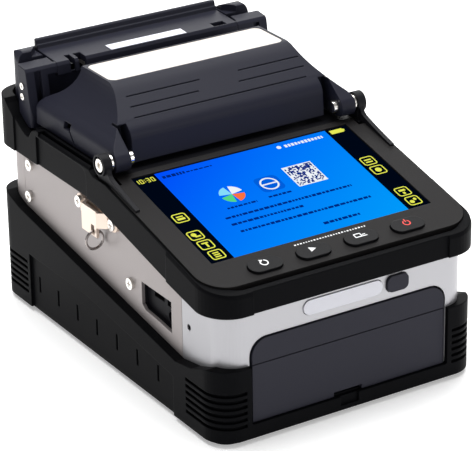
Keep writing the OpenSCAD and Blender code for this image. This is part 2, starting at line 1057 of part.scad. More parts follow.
// Side view of the cover, drawn as [y, z].
module cover_side() {
    polygon(concat(
        [[-1.2, cover_z0]],
        curve([-0.5, 101.2], [0, 105], [2.4, 106], [5.2, 108.3]),
        curve([15.2, 115.3], [18, 117.3], [20.5, 119.1], [24, cover_z1]),
        curve([46.2, cover_z1], [46, 113.5], [49, 108.5], [56, 105.2]),
        curve([58.9, 103.5], [60.8, 102.3], [61.6, 101], [61.6, 98.5]),
        [[61.6, cover_z0]]
    ));
}

// Front view of the cover: narrow at the top and flared towards the hinges.
module cover_front() {
    half = concat(
        [[60.2, cover_z0], [60.2, 96]],
        curve([60.2, 97.5], [60.2, 100.2], [58.6, 101.3], [56, 103.6]),
        curve([55.2, 104.4], [50, 109.2], [45.9, 114.5], [45.2, 119.3]),
        [[45.2, 121]]
    );
    polygon(concat(half, [for (i = [len(half) - 1 : -1 : 0]) [-half[i][0], half[i][1]]]));
}

// The cover as one solid, smaller all round by inset.
module cover_block(inset) {
    intersection() {
        side_view(70)
            offset(delta = -inset)
                cover_side();
        front_view(-20, 80)
            offset(delta = -inset)
                cover_front();
    }
}

// Pocket in the front corner for the end of the hinge pin.
module pin_pocket() {
    translate([pocket_x0, -5, 80])
        cube([lug_x0 - pocket_x0, 13, 27.2]);
}

// Grooves pressed into the sloping front: [x0, x1, y, z] of each.
module cover_grooves() {
    for (g = [[-43.2, 43.2, 5.2, 108.3], [-42.4, -8.8, 9.7, 111.5], [11.5, 45, 9.7, 111.5],
              [-41.8, -5.6, 14.2, 114.6], [14, 45, 14.2, 114.6]])
        translate([g[0], g[2], g[3]])
            rotate([35, 0, 0])
                translate([0, -0.25, -0.6])
                    cube([g[1] - g[0], 0.5, 2]);
}

// Way out for the fibre at one end: a square hole with a slit below it.
module fibre_exit() {
    translate([50, 0, 0])
        rotate([90, 0, 90])
            linear_extrude(20) {
                translate([fibre_y - 2.8, fibre_z - 1])
                    square([5.6, 3.2]);
                polygon([
                    [fibre_y - 2.8, fibre_z - 0.8],
                    [fibre_y - 1.6, fibre_z - 1],
                    [fibre_y - 7.4, 90],
                    [fibre_y - 8.4, 90]
                ]);
            }
}

module wind_cover() {
    color([0.19, 0.2, 0.23])
        difference() {
            union() {
                difference() {
                    cover_block(0);
                    cover_block(cover_t);
                    translate([-57.9, 1, cover_z0 - 0.1])
                        cube([115.8, 58.4, cover_t + 0.2]);
                }
                // Walls round the pockets.
                intersection() {
                    cover_block(0);
                    both_sides()
                        translate([pocket_x0 - cover_t, -2, cover_z0])
                            cube([60, 12.2, 18.2]);
                }
                // Hinge lugs.
                both_sides()
                    intersection() {
                        translate([lug_x0, 0, 0])
                            rotate([90, 0, 90])
                                linear_extrude(7.2)
                                    hull() {
                                        translate([hinge_y, hinge_z])
                                            circle(lug_r);
                                        translate([3, cover_z0])
                                            square([6, 15.4]);
                                    }
                        front_view(-20, 80)
                            cover_front();
                    }
            }
            both_sides() {
                rod_x(40, 70, hinge_y, hinge_z, hinge_pin_r + hinge_play);
                pin_pocket();
                fibre_exit();
            }
            // Seat of the light pad.
            translate([0, strip_y, strip_z])
                linear_extrude(5)
                    plate_shape(strip_l + 0.2, strip_w + 0.2, 3.3);
            cover_grooves();
        }
}

module cover_strip() {
    color([0.96, 0.93, 0.88])
        translate([0, strip_y, strip_z])
            linear_extrude(1.2)
                plate_shape(strip_l, strip_w, 3.2);
}

module splice_base() {
    color([0.25, 0.26, 0.28])
        difference() {
            union() {
                translate([0, fibre_y, 82])
                    linear_extrude(7.4)
                        plate_shape(29.6, 25.6, 1.8);
                // Rails that carry the two stages.
                both_sides()
                    translate([13, fibre_y - 5, pocket_z])
                        cube([stage_x1 - 10, 10, 3.4]);
            }
            // View holes for the microscopes.
            for (y = [-6, 6])
                translate([0, fibre_y + y, 70])
                    cylinder(h = 30, r = 2.6);
        }
}

module v_groove() {
    color([0.92, 0.92, 0.9])
        difference() {
            for (x = [-5.5, 1.5])
                translate([x, fibre_y - 2.4, 89.4])
                    cube([4, 4.8, fibre_z - 89.4]);
            translate([-10, fibre_y, fibre_z])
                rotate([45, 0, 0])
                    cube([20, 0.8, 0.8]);
            translate([0, fibre_y, fibre_z + 0.1])
                cube([20, 0.5, 0.9], center = true);
        }
}

module electrodes() {
    color([0.75, 0.75, 0.78])
        for (side = [-1, 1])
            translate([0, fibre_y + side * 1.2, fibre_z])
                rotate([side * -90, 0, 0])
                    union() {
                        cylinder(h = 3, r1 = 0.15, r2 = 0.9);
                        translate([0, 0, 3])
                            cylinder(h = 12, r = 0.9);
                    }
}

module electrode_blocks() {
    color([0.1, 0.1, 0.11])
        for (side = [-1, 1])
            difference() {
                translate([0, fibre_y + side * 10.7, (89.4 + fibre_z + 2) / 2])
                    cube([9, 4.2, fibre_z + 2 - 89.4], center = true);
                translate([0, fibre_y + side * 5, fibre_z])
                    rotate([side * -90, 0, 0])
                        cylinder(h = 15, r = 0.9);
            }
}

module electrode_screws() {
    color([0.8, 0.8, 0.8])
        for (side = [-1, 1])
            translate([0, fibre_y + side * 10.7, fibre_z + 2])
                difference() {
                    cylinder(h = 2, r = 1.9);
                    translate([0, 0, 1.8])
                        cube([5, 0.6, 1.2], center = true);
                }
}

module microscopes() {
    color([0.3, 0.3, 0.32])
        for (y = [-6, 6])
            translate([0, fibre_y + y, 66]) {
                cylinder(h = 16, r = 4.4);
                translate([0, 0, 16])
                    cylinder(h = 5, r = 2.5);
            }
}

// Stage that carries a fibre holder along its rail.
module fiber_stage(side) {
    color([0.5, 0.51, 0.53])
        scale([side, 1, 1])
            difference() {
                translate([stage_x0, fibre_y - 8, pocket_z + 0.2])
                    cube([stage_x1 - stage_x0 - stage_travel, 16, 6.4]);
                // Groove over the rail.
                translate([stage_x0 - 1, fibre_y - 5.1, pocket_z])
                    cube([stage_x1, 10.2, 3.5]);
            }
}

module stage_left() {
    fiber_stage(-1);
}

module stage_right() {
    fiber_stage(1);
}

// Holder plate with a groove for the fibre and two ears for its lid.
module fiber_holder(side) {
    top_z = pocket_z + 6.6;
    color([0.32, 0.33, 0.36])
        scale([side, 1, 1])
            difference() {
                union() {
                    translate([stage_x0 + 1, fibre_y - 7, top_z])
                        cube([17, 14, fibre_z - top_z]);
                    for (x = [stage_x0 + 1, stage_x0 + 15])
                        translate([x, fibre_y + 6.9, top_z])
                            cube([3, 4.6, fibre_z - top_z + 1.4]);
                }
                translate([stage_x0, fibre_y - 0.4, fibre_z - 0.5])
                    cube([20, 0.8, 1]);
                rod_x(stage_x0 - 1, stage_x0 + 20, fibre_y + 9.2, fibre_z - 0.2, 0.8);
            }
}

module fiber_holder_left() {
    fiber_holder(-1);
}

module fiber_holder_right() {
    fiber_holder(1);
}

// Lid that presses the fibre into the holder.
module holder_lid(side) {
    color([0.15, 0.16, 0.18])
        scale([side, 1, 1])
            difference() {
                union() {
                    translate([stage_x0 + 4.2, fibre_y - 6.6, fibre_z + 0.1])
                        cube([10.6, 15.8, 2.2]);
                    rod_x(stage_x0 + 4.2, stage_x0 + 14.8, fibre_y + 9.2, fibre_z - 0.2, 1.9);
                }
                rod_x(stage_x0, stage_x0 + 20, fibre_y + 9.2, fibre_z - 0.2, 0.85);
            }
}

module holder_lid_left() {
    holder_lid(-1);
}

module holder_lid_right() {
    holder_lid(1);
}

// Pin of a holder lid.
module holder_pin(side) {
    color([0.8, 0.8, 0.8])
        scale([side, 1, 1])
            rod_x(stage_x0 + 1, stage_x0 + 18, fibre_y + 9.2, fibre_z - 0.2, 0.8);
}

module holder_pin_left() {
    holder_pin(-1);
}

module holder_pin_right() {
    holder_pin(1);
}

// Outline of the heater housing seen from above: a wide front part and a narrower rear part.
module housing_footprint() {
    footprint(housing_half_w, housing_y0, ledge_y1, 1.5, 0.5);
    footprint(housing_rear_half_w, housing_y0 + 1, body_half_l, 1.5, 12);
}

// Side view of the heater housing with its ledge and its higher rear ears, drawn as [y, z].
module housing_side() {
    polygon(concat(
        [
            [housing_y0, deck_z],
            [housing_y0, 94],
            [65.2, 108],
            [66.2, 113.4],
            [67.2, 114.6],
            [ledge_y1, ledge_z],
            [ear_y0, ledge_z],
            [ear_y0, 118]
        ],
        curve([ear_y0 + 0.5, 118.3], [80, 118.9], [86, 118.6], [body_half_l, 113]),
        [[body_half_l, deck_z]]
    ));
}

// Dark recesses in the front of the housing: a narrow slot and a wide window on each side.
module housing_recesses() {
    both_sides() {
        translate([54.8, housing_y0 - 2, 92])
            cube([3.2, 7, 20.8]);
        translate([4, housing_y0 - 2, 92])
            cube([47.6, 7, 18.6]);
    }
}

module rear_housing() {
    color([0.11, 0.11, 0.12])
        difference() {
            intersection() {
                side_view(housing_half_w)
                    housing_side();
                translate([0, 0, 80])
                    linear_extrude(60)
                        housing_footprint();
            }
            // Channel for the heater, open at the top.
            translate([-47.5, heater_y0 + 2.6, deck_z + 6])
                cube([95, 17.4, 40]);
            // Space for the heater lid over the channel and for its skirt in front of it.
            translate([-lid_opening_half_w, housing_y0 - 2, lid_skirt_z - 0.15])
                cube([2 * lid_opening_half_w, 8.2, 20]);
            translate([-lid_opening_half_w, heater_y0 + 2.6, heater_hinge_z - 3.4])
                cube([2 * lid_opening_half_w, 40, 20]);
            housing_recesses();
            both_sides() {
                // Slot that lets the fibre out, in front of the rear ear.
                translate([46, ledge_y1, 103.5])
                    cube([30, ear_y0 - ledge_y1, 30]);
                // Gap between the lid and the rear ear, wider at the front.
                translate([0, 0, ledge_z])
                    linear_extrude(10)
                        polygon([
                            [46, ear_y0 - 1],
                            [53, ear_y0 - 1],
                            [53, ear_y0],
                            [48.4, 83],
                            [48.4, 100],
                            [46, 100]
                        ]);
                // Rounded outer shoulder of the ear.
                front_view(ear_y0 - 0.1, 100)
                    polygon(concat(
                        [[70, 125], [54, 125]],
                        curve([54, 119.4], [57.5, 119.4], [59.5, 116.5], [59.6, 113]),
                        [[70, 113]]
                    ));
                rod_x(44, 53, heater_hinge_y, heater_hinge_z, 1.2);
                for (z = housing_screw_z)
                    rod_x(56, 70, housing_screw_y, z, screw_r + 0.05);
            }
        }
}

module housing_screws() {
    color([0.9, 0.9, 0.9])
        both_sides()
            for (z = housing_screw_z)
                difference() {
                    union() {
                        rod_x(57.5, housing_half_w + 0.1, housing_screw_y, z, screw_r);
                        rod_x(housing_half_w, housing_half_w + 0.5, housing_screw_y, z, 1.6);
                    }
                    rod_x(housing_half_w + 0.1, housing_half_w + 2, housing_screw_y, z, 0.7);
                }
}

module heater_tray() {
    tray_z0 = deck_z + 6;
    color([0.72, 0.72, 0.74])
        difference() {
            translate([-46.5, heater_y0 + 3.2, tray_z0])
                cube([93, 16, 13]);
            // Trough for the splice sleeve.
            translate([-48, sleeve_y - 4, tray_z0 + 5])
                cube([96, 8, 12]);
        }
}

module heater_pin() {
    color([0.8, 0.8, 0.8])
        both_sides()
            rod_x(43.2, 50, heater_hinge_y, heater_hinge_z, 1.2);
}

// Side view of the heater lid: a nearly flat top with a ridge in two steps, drawn as [y, z].
module lid_side() {
    polygon([
        [heater_y0 - 0.8, lid_skirt_z],
        [heater_y0, 113.4],
        [heater_y0 + 1, lid_z0],
        [84.2, lid_z1],
        [84.6, 117.3],
        [85.3, 117.5],
        [85.7, 119.2],
        [86.4, 119.8],
        [87.8, 119.6],
        [89.6, 117.6],
        [90.5, 115],
        [90.5, 112.6],
        [86.4, lid_underside_z],
        [heater_y0 + 1.2, lid_underside_z],
        [heater_y0 + 1.2, lid_skirt_z]
    ]);
}

module heater_lid() {
    color([0.16, 0.165, 0.18])
        difference() {
            union() {
                side_view(lid_half_w)
                    lid_side();
                rod_x(-lid_half_w, lid_half_w, heater_hinge_y, heater_hinge_z, 2.1);
            }
            rod_x(-60, 60, heater_hinge_y, heater_hinge_z, 1.25);
            // Chamfered rear corners.
            both_sides()
                translate([lid_half_w, 92, 100])
                    rotate([0, 0, 45])
                        cube([7, 7, 60], center = true);
            // Windows over the ends of the sleeve, given as [x0, x1, y0, y1].
            for (w = [[-40, -37.4, 64, 72.3], [-35.6, -32, 64, 72.3], [35, 41.6, 67.6, 71.5]])
                translate([w[0], w[2], 105])
                    cube([w[1] - w[0], w[3] - w[2], 20]);
        }
}

module heater_pads() {
    color([0.8, 0.8, 0.78])
        for (x = [-30, 22])
            translate([x, sleeve_y - 3.4, 108.4])
                cube([8, 6.8, 3.5]);
}

module heater_label() {
    slope = atan((lid_z1 - lid_z0) / (84.2 - heater_y0 - 1));
    color([0.85, 0.86, 0.9])
        translate([0, heater_y0 + 1, lid_z0])
            rotate([slope, 0, 0])
                translate([-18.6, 0.1, 0])
                    cube([38.8, 5.5, 0.25]);
}

chassis();
boot();
feet();
side_plate_left();
side_plate_right();
front_wrap();
rear_panel();
top_shell();
bumper();
bezel();
lcd_module();
key_board();
key_reset();
key_run();
key_view();
key_power();
battery();
battery_contacts();
battery_latch();
led_bar();
port_block();
main_board();
side_screws();
wrap_screws();
bracket_left();
bracket_right();
bracket_screws();
strap_ring_left();
strap_ring_right();
hinge_brackets();
hinge_pins();
hinge_washers();
wind_cover();
cover_strip();
splice_base();
v_groove();
electrodes();
electrode_blocks();
electrode_screws();
microscopes();
stage_left();
stage_right();
fiber_holder_left();
fiber_holder_right();
holder_lid_left();
holder_lid_right();
holder_pin_left();
holder_pin_right();
rear_housing();
housing_screws();
heater_tray();
heater_pin();
heater_lid();
heater_pads();
heater_label();
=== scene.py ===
import json
import math
import random

import bmesh
import bpy
from mathutils import Matrix, Vector

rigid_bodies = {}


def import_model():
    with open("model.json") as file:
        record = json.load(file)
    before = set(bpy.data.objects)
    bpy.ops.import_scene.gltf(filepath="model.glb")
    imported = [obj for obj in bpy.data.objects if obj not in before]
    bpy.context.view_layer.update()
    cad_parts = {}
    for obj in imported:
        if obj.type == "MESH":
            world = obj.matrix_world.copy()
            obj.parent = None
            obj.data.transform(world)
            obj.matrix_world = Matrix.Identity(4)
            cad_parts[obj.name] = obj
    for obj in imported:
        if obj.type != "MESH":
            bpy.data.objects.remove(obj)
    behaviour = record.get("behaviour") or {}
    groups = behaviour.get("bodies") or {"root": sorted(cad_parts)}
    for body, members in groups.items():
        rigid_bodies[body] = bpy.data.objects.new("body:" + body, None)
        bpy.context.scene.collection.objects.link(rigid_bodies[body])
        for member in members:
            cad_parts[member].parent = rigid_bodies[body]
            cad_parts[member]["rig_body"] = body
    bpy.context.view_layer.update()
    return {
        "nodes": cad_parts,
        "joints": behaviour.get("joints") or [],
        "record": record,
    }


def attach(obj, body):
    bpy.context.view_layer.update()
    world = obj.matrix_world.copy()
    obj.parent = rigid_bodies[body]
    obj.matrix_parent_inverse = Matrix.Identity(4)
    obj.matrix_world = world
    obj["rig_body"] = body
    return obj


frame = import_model()
MM = 0.001
NODES = frame["nodes"]
JOINTS = {j["name"]: j for j in frame["joints"]}
random.seed(7)

scene = bpy.context.scene
scene.view_settings.view_transform = "Standard"
scene.view_settings.look = "None"


# ---------------------------------------------------------------- materials

BEVEL_SAMPLES = 6
GRAIN_DETAIL = 3
GRAIN_STRENGTH = 0.35


def material(name, color, rough=0.5, metal=0.0, edge=0.0, grain=0.0, grain_size=900.0,
             coat=0.0, glow=0.0, spec=0.5):
    """Principled material. edge rounds the shading of corners; grain is how deep a fine texture is, in mm."""
    m = bpy.data.materials.new(name)
    m.use_nodes = True
    nt = m.node_tree
    bsdf = nt.nodes["Principled BSDF"]
    bsdf.inputs["Base Color"].default_value = (*color, 1)
    bsdf.inputs["Roughness"].default_value = rough
    bsdf.inputs["Metallic"].default_value = metal
    bsdf.inputs["Coat Weight"].default_value = coat
    bsdf.inputs["Specular IOR Level"].default_value = spec
    if glow:
        bsdf.inputs["Emission Color"].default_value = (*color, 1)
        bsdf.inputs["Emission Strength"].default_value = glow
    normal = None
    if edge:
        bevel = nt.nodes.new("ShaderNodeBevel")
        bevel.samples = BEVEL_SAMPLES
        bevel.inputs["Radius"].default_value = edge * MM
        normal = bevel.outputs["Normal"]
    if grain:
        coords = nt.nodes.new("ShaderNodeTexCoord")
        noise = nt.nodes.new("ShaderNodeTexNoise")
        noise.inputs["Scale"].default_value = grain_size
        noise.inputs["Detail"].default_value = GRAIN_DETAIL
        bump = nt.nodes.new("ShaderNodeBump")
        bump.inputs["Strength"].default_value = GRAIN_STRENGTH
        bump.inputs["Distance"].default_value = grain * MM
        nt.links.new(coords.outputs["Object"], noise.inputs["Vector"])
        nt.links.new(noise.outputs["Fac"], bump.inputs["Height"])
        if normal:
            nt.links.new(normal, bump.inputs["Normal"])
        normal = bump.outputs["Normal"]
    if normal:
        nt.links.new(normal, bsdf.inputs["Normal"])
    return m


# Colour, roughness and the other settings of each slot in the record.
SLOTS = {
    "housing_plastic": dict(color=(0.006, 0.006, 0.008), rough=0.5, edge=0.4, grain=0.02, spec=0.12),
    "rubber": dict(color=(0.0019, 0.002, 0.0027), rough=0.5, edge=0.7,
                   grain=0.03, grain_size=700, spec=0.035),
    "side_metal": dict(color=(0.33, 0.30, 0.295), rough=0.45, metal=0.5, edge=0.3,
                       grain=0.006, grain_size=2500),
    "front_metal": dict(color=(0.385, 0.382, 0.40), rough=0.36, metal=0.7, edge=0.3,
                        grain=0.006, grain_size=2500),
    "panel_plastic": dict(color=(0.010, 0.0092, 0.0095), rough=0.5, edge=0.3, grain=0.012, spec=0.09),
    "screen": dict(color=(0.002, 0.003, 0.006), rough=0.4, spec=0.02),
    "circuit_board": dict(color=(0.02, 0.14, 0.06), rough=0.4, edge=0.2),
    "key_rubber": dict(color=(0.0045, 0.0045, 0.0055), rough=0.45, edge=0.4, spec=0.1),
    "battery_plastic": dict(color=(0.020, 0.020, 0.029), rough=0.5, edge=0.4, grain=0.015, spec=0.12),
    "contact_gold": dict(color=(0.85, 0.62, 0.28), rough=0.25, metal=1.0),
    "lamp_diffuser": dict(color=(0.56, 0.56, 0.61), rough=0.3, edge=0.4, coat=0.2),
    "bright_steel": dict(color=(0.84, 0.81, 0.77), rough=0.18, metal=1.0, edge=0.15),
    "ring_steel": dict(color=(0.32, 0.29, 0.28), rough=0.15, metal=1.0),
    "bracket_steel": dict(color=(0.74, 0.62, 0.53), rough=0.33, metal=0.8, edge=0.2),
    "cover_plastic": dict(color=(0.014, 0.0145, 0.024), rough=0.45, edge=0.6, grain=0.012, spec=0.12),
    "pad_white": dict(color=(0.66, 0.61, 0.565), rough=0.6, edge=0.3),
    "machined_metal": dict(color=(0.10, 0.105, 0.12), rough=0.35, metal=0.9, edge=0.3),
    "ceramic": dict(color=(0.85, 0.85, 0.82), rough=0.3, edge=0.15),
    "label_white": dict(color=(0.74, 0.75, 0.84), rough=0.5),
}
MATERIALS = {slot: material(slot, **settings) for slot, settings in SLOTS.items()}
for sub in frame["record"]["subparts"]:
    node = NODES[sub["node"]]
    node.data.materials.clear()
    node.data.materials.append(MATERIALS[sub["material_slot"]])


# ---------------------------------------------------------------- panel frame

# P_N points out of the tilted panel and P_V up along it. P_O is the centre of the display's face.
P_N = -Vector(JOINTS["run_key_press"]["axis"]).normalized()
P_V = P_N.cross(Vector((1, 0, 0)))
# Points this close to a face's height count as lying on it.
FACE_TOLERANCE = 0.05 * MM
LCD_POINTS = [Vector(v.co) for v in NODES["lcd_module"].data.vertices]
FACE_H = max(p.dot(P_N) for p in LCD_POINTS)
FACE = [p for p in LCD_POINTS if p.dot(P_N) > FACE_H - FACE_TOLERANCE]
FACE_V = [p.dot(P_V) for p in FACE]
FACE_MID_V = (max(FACE_V) + min(FACE_V)) / 2
LCD_L = (max(FACE_V) - min(FACE_V)) / MM
LCD_W = (max(p.x for p in FACE) - min(p.x for p in FACE)) / MM
P_O = P_V * FACE_MID_V + P_N * FACE_H


def on_panel(x, v, h):
    """Point x mm across and v mm up the panel from the screen centre, h mm above the screen face."""
    return P_O + Vector((x * MM, 0, 0)) + P_V * (v * MM) + P_N * (h * MM)


def node_top(node):
    """Centre and height of a node's top on the panel, from the centre of the screen face, in mm."""
    pts = [Vector(v.co) for v in NODES[node].data.vertices]
    top = max(p.dot(P_N) for p in pts)
    high = [p for p in pts if p.dot(P_N) > top - FACE_TOLERANCE]
    xs = [p.x for p in high]
    vs = [p.dot(P_V) - FACE_MID_V for p in high]
    return (max(xs) + min(xs)) / 2 / MM, (max(vs) + min(vs)) / 2 / MM, (top - FACE_H) / MM


# ---------------------------------------------------------------- flat shapes, in mm on the panel

def circle(x, v, r, n=32, start=0.0, turn=360.0):
    """n points round a circle, or along the given turn of it in degrees."""
    steps = [math.radians(start + turn * i / n) for i in range(n)]
    return [(x + r * math.cos(a), v + r * math.sin(a)) for a in steps]


def rounded(x, v, w, l, r, n=5):
    """Rectangle of w by l with corners of radius r."""
    pts = []
    for sx, sv, start in ((1, 1, 0), (-1, 1, 90), (-1, -1, 180), (1, -1, 270)):
        steps = [math.radians(start + 90 * i / n) for i in range(n + 1)]
        cx, cv = x + sx * (w / 2 - r), v + sv * (l / 2 - r)
        pts += [(cx + r * math.cos(a), cv + r * math.sin(a)) for a in steps]
    return pts


def bar(x, v, w, l):
    """Rectangle of w by l."""
    x0, x1, v0, v1 = x - w / 2, x + w / 2, v - l / 2, v + l / 2
    return [(x0, v0), (x1, v0), (x1, v1), (x0, v1)]


def ring(x, v, r, t, n=32):
    """Outline and hole of a ring of width t."""
    return {"loop": circle(x, v, r, n), "hole": circle(x, v, r - t, n)}


def frame_of(x, v, w, l, r, t):
    """Outline and hole of a rounded frame of width t."""
    return {"loop": rounded(x, v, w, l, r), "hole": rounded(x, v, w - 2 * t, l - 2 * t, max(r - t, 0.1))}


def arc_band(r, t, start, turn, v=0.0, n=24):
    """Open band of width t along an arc."""
    steps = [math.radians(start + turn * i / n) for i in range(n + 1)]
    outer = [(r * math.cos(a), v + r * math.sin(a)) for a in steps]
    inner = [((r - t) * math.cos(a), v + (r - t) * math.sin(a)) for a in steps]
    return outer + inner[::-1]


SHORTEST_DASH = 0.3


def dashes(x0, x1, v, height, gap=0.5, low=0.9, high=2.6):
    """Stands in for a line of text: a row of bars, low to high mm long and gap mm apart."""
    out, x = [], x0
    while x < x1:
        w = min(random.uniform(low, high), x1 - x)
        if w > SHORTEST_DASH:
            out.append(bar(x + w / 2, v, w, height * random.uniform(0.75, 1.0)))
        x += w + gap
    return out


def shifted(shape, dx, dv):
    """The same outline, with its hole if it has one, moved across and up the panel."""
    if isinstance(shape, dict):
        return {key: shifted(pts, dx, dv) for key, pts in shape.items()}
    return [(x + dx, v + dv) for x, v in shape]


def prism(bm, loop, h0, h1, hole=None):
    """Closed flat solid with the given outline, and with a hole where one is given with as many points."""
    n = len(loop)
    if hole is None:
        low = [bm.verts.new(on_panel(x, v, h0)) for x, v in loop]
        high = [bm.verts.new(on_panel(x, v, h1)) for x, v in loop]
        bm.faces.new(high)
        bm.faces.new(low[::-1])
        rings = [low, high]
        pairs = [(0, 1)]
    else:
        levels = ((loop, h0), (loop, h1), (hole, h1), (hole, h0))
        rings = [[bm.verts.new(on_panel(x, v, h)) for x, v in pts] for pts, h in levels]
        pairs = [(0, 1), (1, 2), (2, 3), (3, 0)]
    for a, b in pairs:
        for i in range(n):
            j = (i + 1) % n
            bm.faces.new((rings[a][i], rings[a][j], rings[b][j], rings[b][i]))


def flat_piece(name, shapes, mat, h0, h1, body="base"):
    """One object made of flat shapes that reach from h0 to h1 above the screen face."""
    bm = bmesh.new()
    for shape in shapes:
        if isinstance(shape, dict):
            prism(bm, shape["loop"], h0, h1, shape["hole"])
        else:
            prism(bm, shape, h0, h1)
    bmesh.ops.recalc_face_normals(bm, faces=bm.faces)
    mesh = bpy.data.meshes.new(name)
    bm.to_mesh(mesh)
    bm.free()
    mesh.materials.append(mat)
    ob = bpy.data.objects.new(name, mesh)
    scene.collection.objects.link(ob)
    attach(ob, body)


# ---------------------------------------------------------------- screen

SCREEN_GLOW = 0.95


def lit(name, color):
    """Material of a lit part of the screen: it glows and reflects nothing."""
    m = material(name, color, 0.6, glow=SCREEN_GLOW, spec=0.0)
    m.node_tree.nodes["Principled BSDF"].inputs["Base Color"].default_value = (0, 0, 0, 1)
    return m


def lit_blue():
    """The blue field, lighter towards its lower right corner."""
    m = lit("screen_blue", (0.0, 0.1, 1.0))
    nt = m.node_tree
    coords = nt.nodes.new("ShaderNodeTexCoord")
    split = nt.nodes.new("ShaderNodeSeparateXYZ")
    across = nt.nodes.new("ShaderNodeMath")
    across.operation = "SUBTRACT"
    half = nt.nodes.new("ShaderNodeMath")
    half.operation = "MULTIPLY_ADD"
    half.inputs[1].default_value = 0.5
    half.inputs[2].default_value = 0.5
    ramp = nt.nodes.new("ShaderNodeValToRGB")
    ramp.color_ramp.elements[0].color = (0.0, 0.075, 1.0, 1)
    ramp.color_ramp.elements[1].color = (0.0, 0.34, 1.0, 1)
    nt.links.new(coords.outputs["Generated"], split.inputs[0])
    nt.links.new(split.outputs["X"], across.inputs[0])
    nt.links.new(split.outputs["Y"], across.inputs[1])
    nt.links.new(across.outputs[0], half.inputs[0])
    nt.links.new(half.outputs[0], ramp.inputs[0])
    nt.links.new(ramp.outputs[0], nt.nodes["Principled BSDF"].inputs["Emission Color"])
    return m


# Heights above the screen face of each layer of the picture, in mm.
GROUND, FIELD, LAYER_1, LAYER_2, LAYER_3 = 0.005, 0.03, 0.06, 0.085, 0.11
ICONS_TOP, DOTS_TOP = LAYER_1 + 0.01, LAYER_3 - 0.005
BLUE_W = 86.0
GROUND_INSET, FIELD_INSET = 0.1, 0.3
NAVY = lit("screen_navy", (0.0, 0.002, 0.008))
YELLOW = lit("screen_yellow", (0.85, 0.87, 0.10))
WHITE = lit("screen_white", (0.9, 0.95, 1.0))
INK = lit("screen_ink", (0.0, 0.02, 0.22))
TILE = lit("screen_tile", (0.0, 0.12, 0.75))

flat_piece("screen_ground", [bar(0, 0, LCD_W - GROUND_INSET, LCD_L - GROUND_INSET)], NAVY, GROUND, FIELD)
flat_piece("screen_field", [bar(0, 0, BLUE_W, LCD_L - FIELD_INSET)], lit_blue(), FIELD, LAYER_1)

# Outlined icons down both sides, each with a simple sign in it: [x, v, shapes about the centre].
ICONS = [
    [-49.0, 0.5, [bar(0, 0.9, 3.2, 0.7), bar(0, -0.7, 3.6, 1.3)]],
    [-49.6, -12.5, [circle(-0.6, 0.5, 1.2, 16), bar(0.7, -0.9, 2.6, 0.9)]],
    [-49.0, -19.7, [bar(0, 1.1, 3.0, 0.8), bar(0.4, -0.6, 0.9, 2.4)]],
    [-48.4, -27.2, [bar(0, dv, 2.8, 0.7) for dv in (1.2, -0.1, -1.4)]],
    [47.8, 5.2, [bar(0, dv, 3.4, 0.8) for dv in (0.7, -0.9)]],
    [48.0, -2.2, [circle(0, 0, 1.5, 16)]],
    [48.4, -20.0, [bar(0, 0.8, 3.2, 1.2), bar(0, -1.2, 1.2, 1.4)]],
    [48.8, -27.3, [circle(-1.0, -0.6, 1.1, 16), circle(1.1, 0.7, 0.8, 16)]],
]
ICON_W, ICON_L, ICON_R, ICON_T = 6.6, 6.2, 1.4, 0.55
yellow_shapes = []
for x, v, sign in ICONS:
    yellow_shapes.append(frame_of(x, v, ICON_W, ICON_L, ICON_R, ICON_T))
    yellow_shapes += [shifted(shape, x, v) for shape in sign]

# Clock made of seven-bar digits, with two dots in the middle.
DIGIT_W, DIGIT_L, DIGIT_T = 1.2, 2.6, 0.38
SEGMENTS = {"0": "abcdef", "1": "bc", "3": "abgcd"}


def digit(figure, x, v):
    """Bars of one figure of the clock, centred on x and v."""
    w, l, t = DIGIT_W, DIGIT_L, DIGIT_T
    bars = {
        "a": bar(x, v + l / 2, w, t), "g": bar(x, v, w, t), "d": bar(x, v - l / 2, w, t),
        "f": bar(x - w / 2, v + l / 4, t, l / 2), "b": bar(x + w / 2, v + l / 4, t, l / 2),
        "e": bar(x - w / 2, v - l / 4, t, l / 2), "c": bar(x + w / 2, v - l / 4, t, l / 2),
    }
    return [bars[key] for key in SEGMENTS[figure]]


CLOCK_X, CLOCK_V, CLOCK_STEP, CLOCK_GAP, CLOCK_DOT = -52.9, 29.4, 2.25, 0.9, 0.45
for i, figure in enumerate("1030"):
    yellow_shapes += digit(figure, CLOCK_X + CLOCK_STEP * i + (CLOCK_GAP if i > 1 else 0), CLOCK_V)
for dv in (0.7, -0.6):
    yellow_shapes.append(bar(CLOCK_X + 1.5 * CLOCK_STEP + CLOCK_GAP / 2, CLOCK_V + dv, CLOCK_DOT, CLOCK_DOT))
# Battery gauge and its small tip.
GAUGE_V = 29.9
yellow_shapes += [bar(47.8, GAUGE_V, 6.4, 2.7), bar(51.4, GAUGE_V, 0.7, 1.4)]
flat_piece("screen_icons", yellow_shapes, YELLOW, FIELD, ICONS_TOP)

# Lines of text as dashes: [x0, x1, v, height].
TEXT_LINES = [
    [-41, -30, 28.6, 2.2], [-29.5, -17, 28.4, 0.9], [-27.5, -13, -1.6, 1.3], [-7.0, 4.5, -1.2, 1.3],
    [-32, 30.5, -7.4, 1.5], [-32, 3, -12.2, 1.5], [-31, 33.5, -17.6, 1.5], [4, 22, -26.4, 1.7],
]
flat_piece("screen_text", [d for line in TEXT_LINES for d in dashes(*line)], INK, LAYER_1, LAYER_2)
number_line = dashes(20.0, 39.5, 28.7, 2.0, gap=0.55, low=1.0, high=1.3)
flat_piece("screen_number", number_line + [circle(17.2, 28.9, 1.1, 16)], WHITE, LAYER_1, LAYER_2)

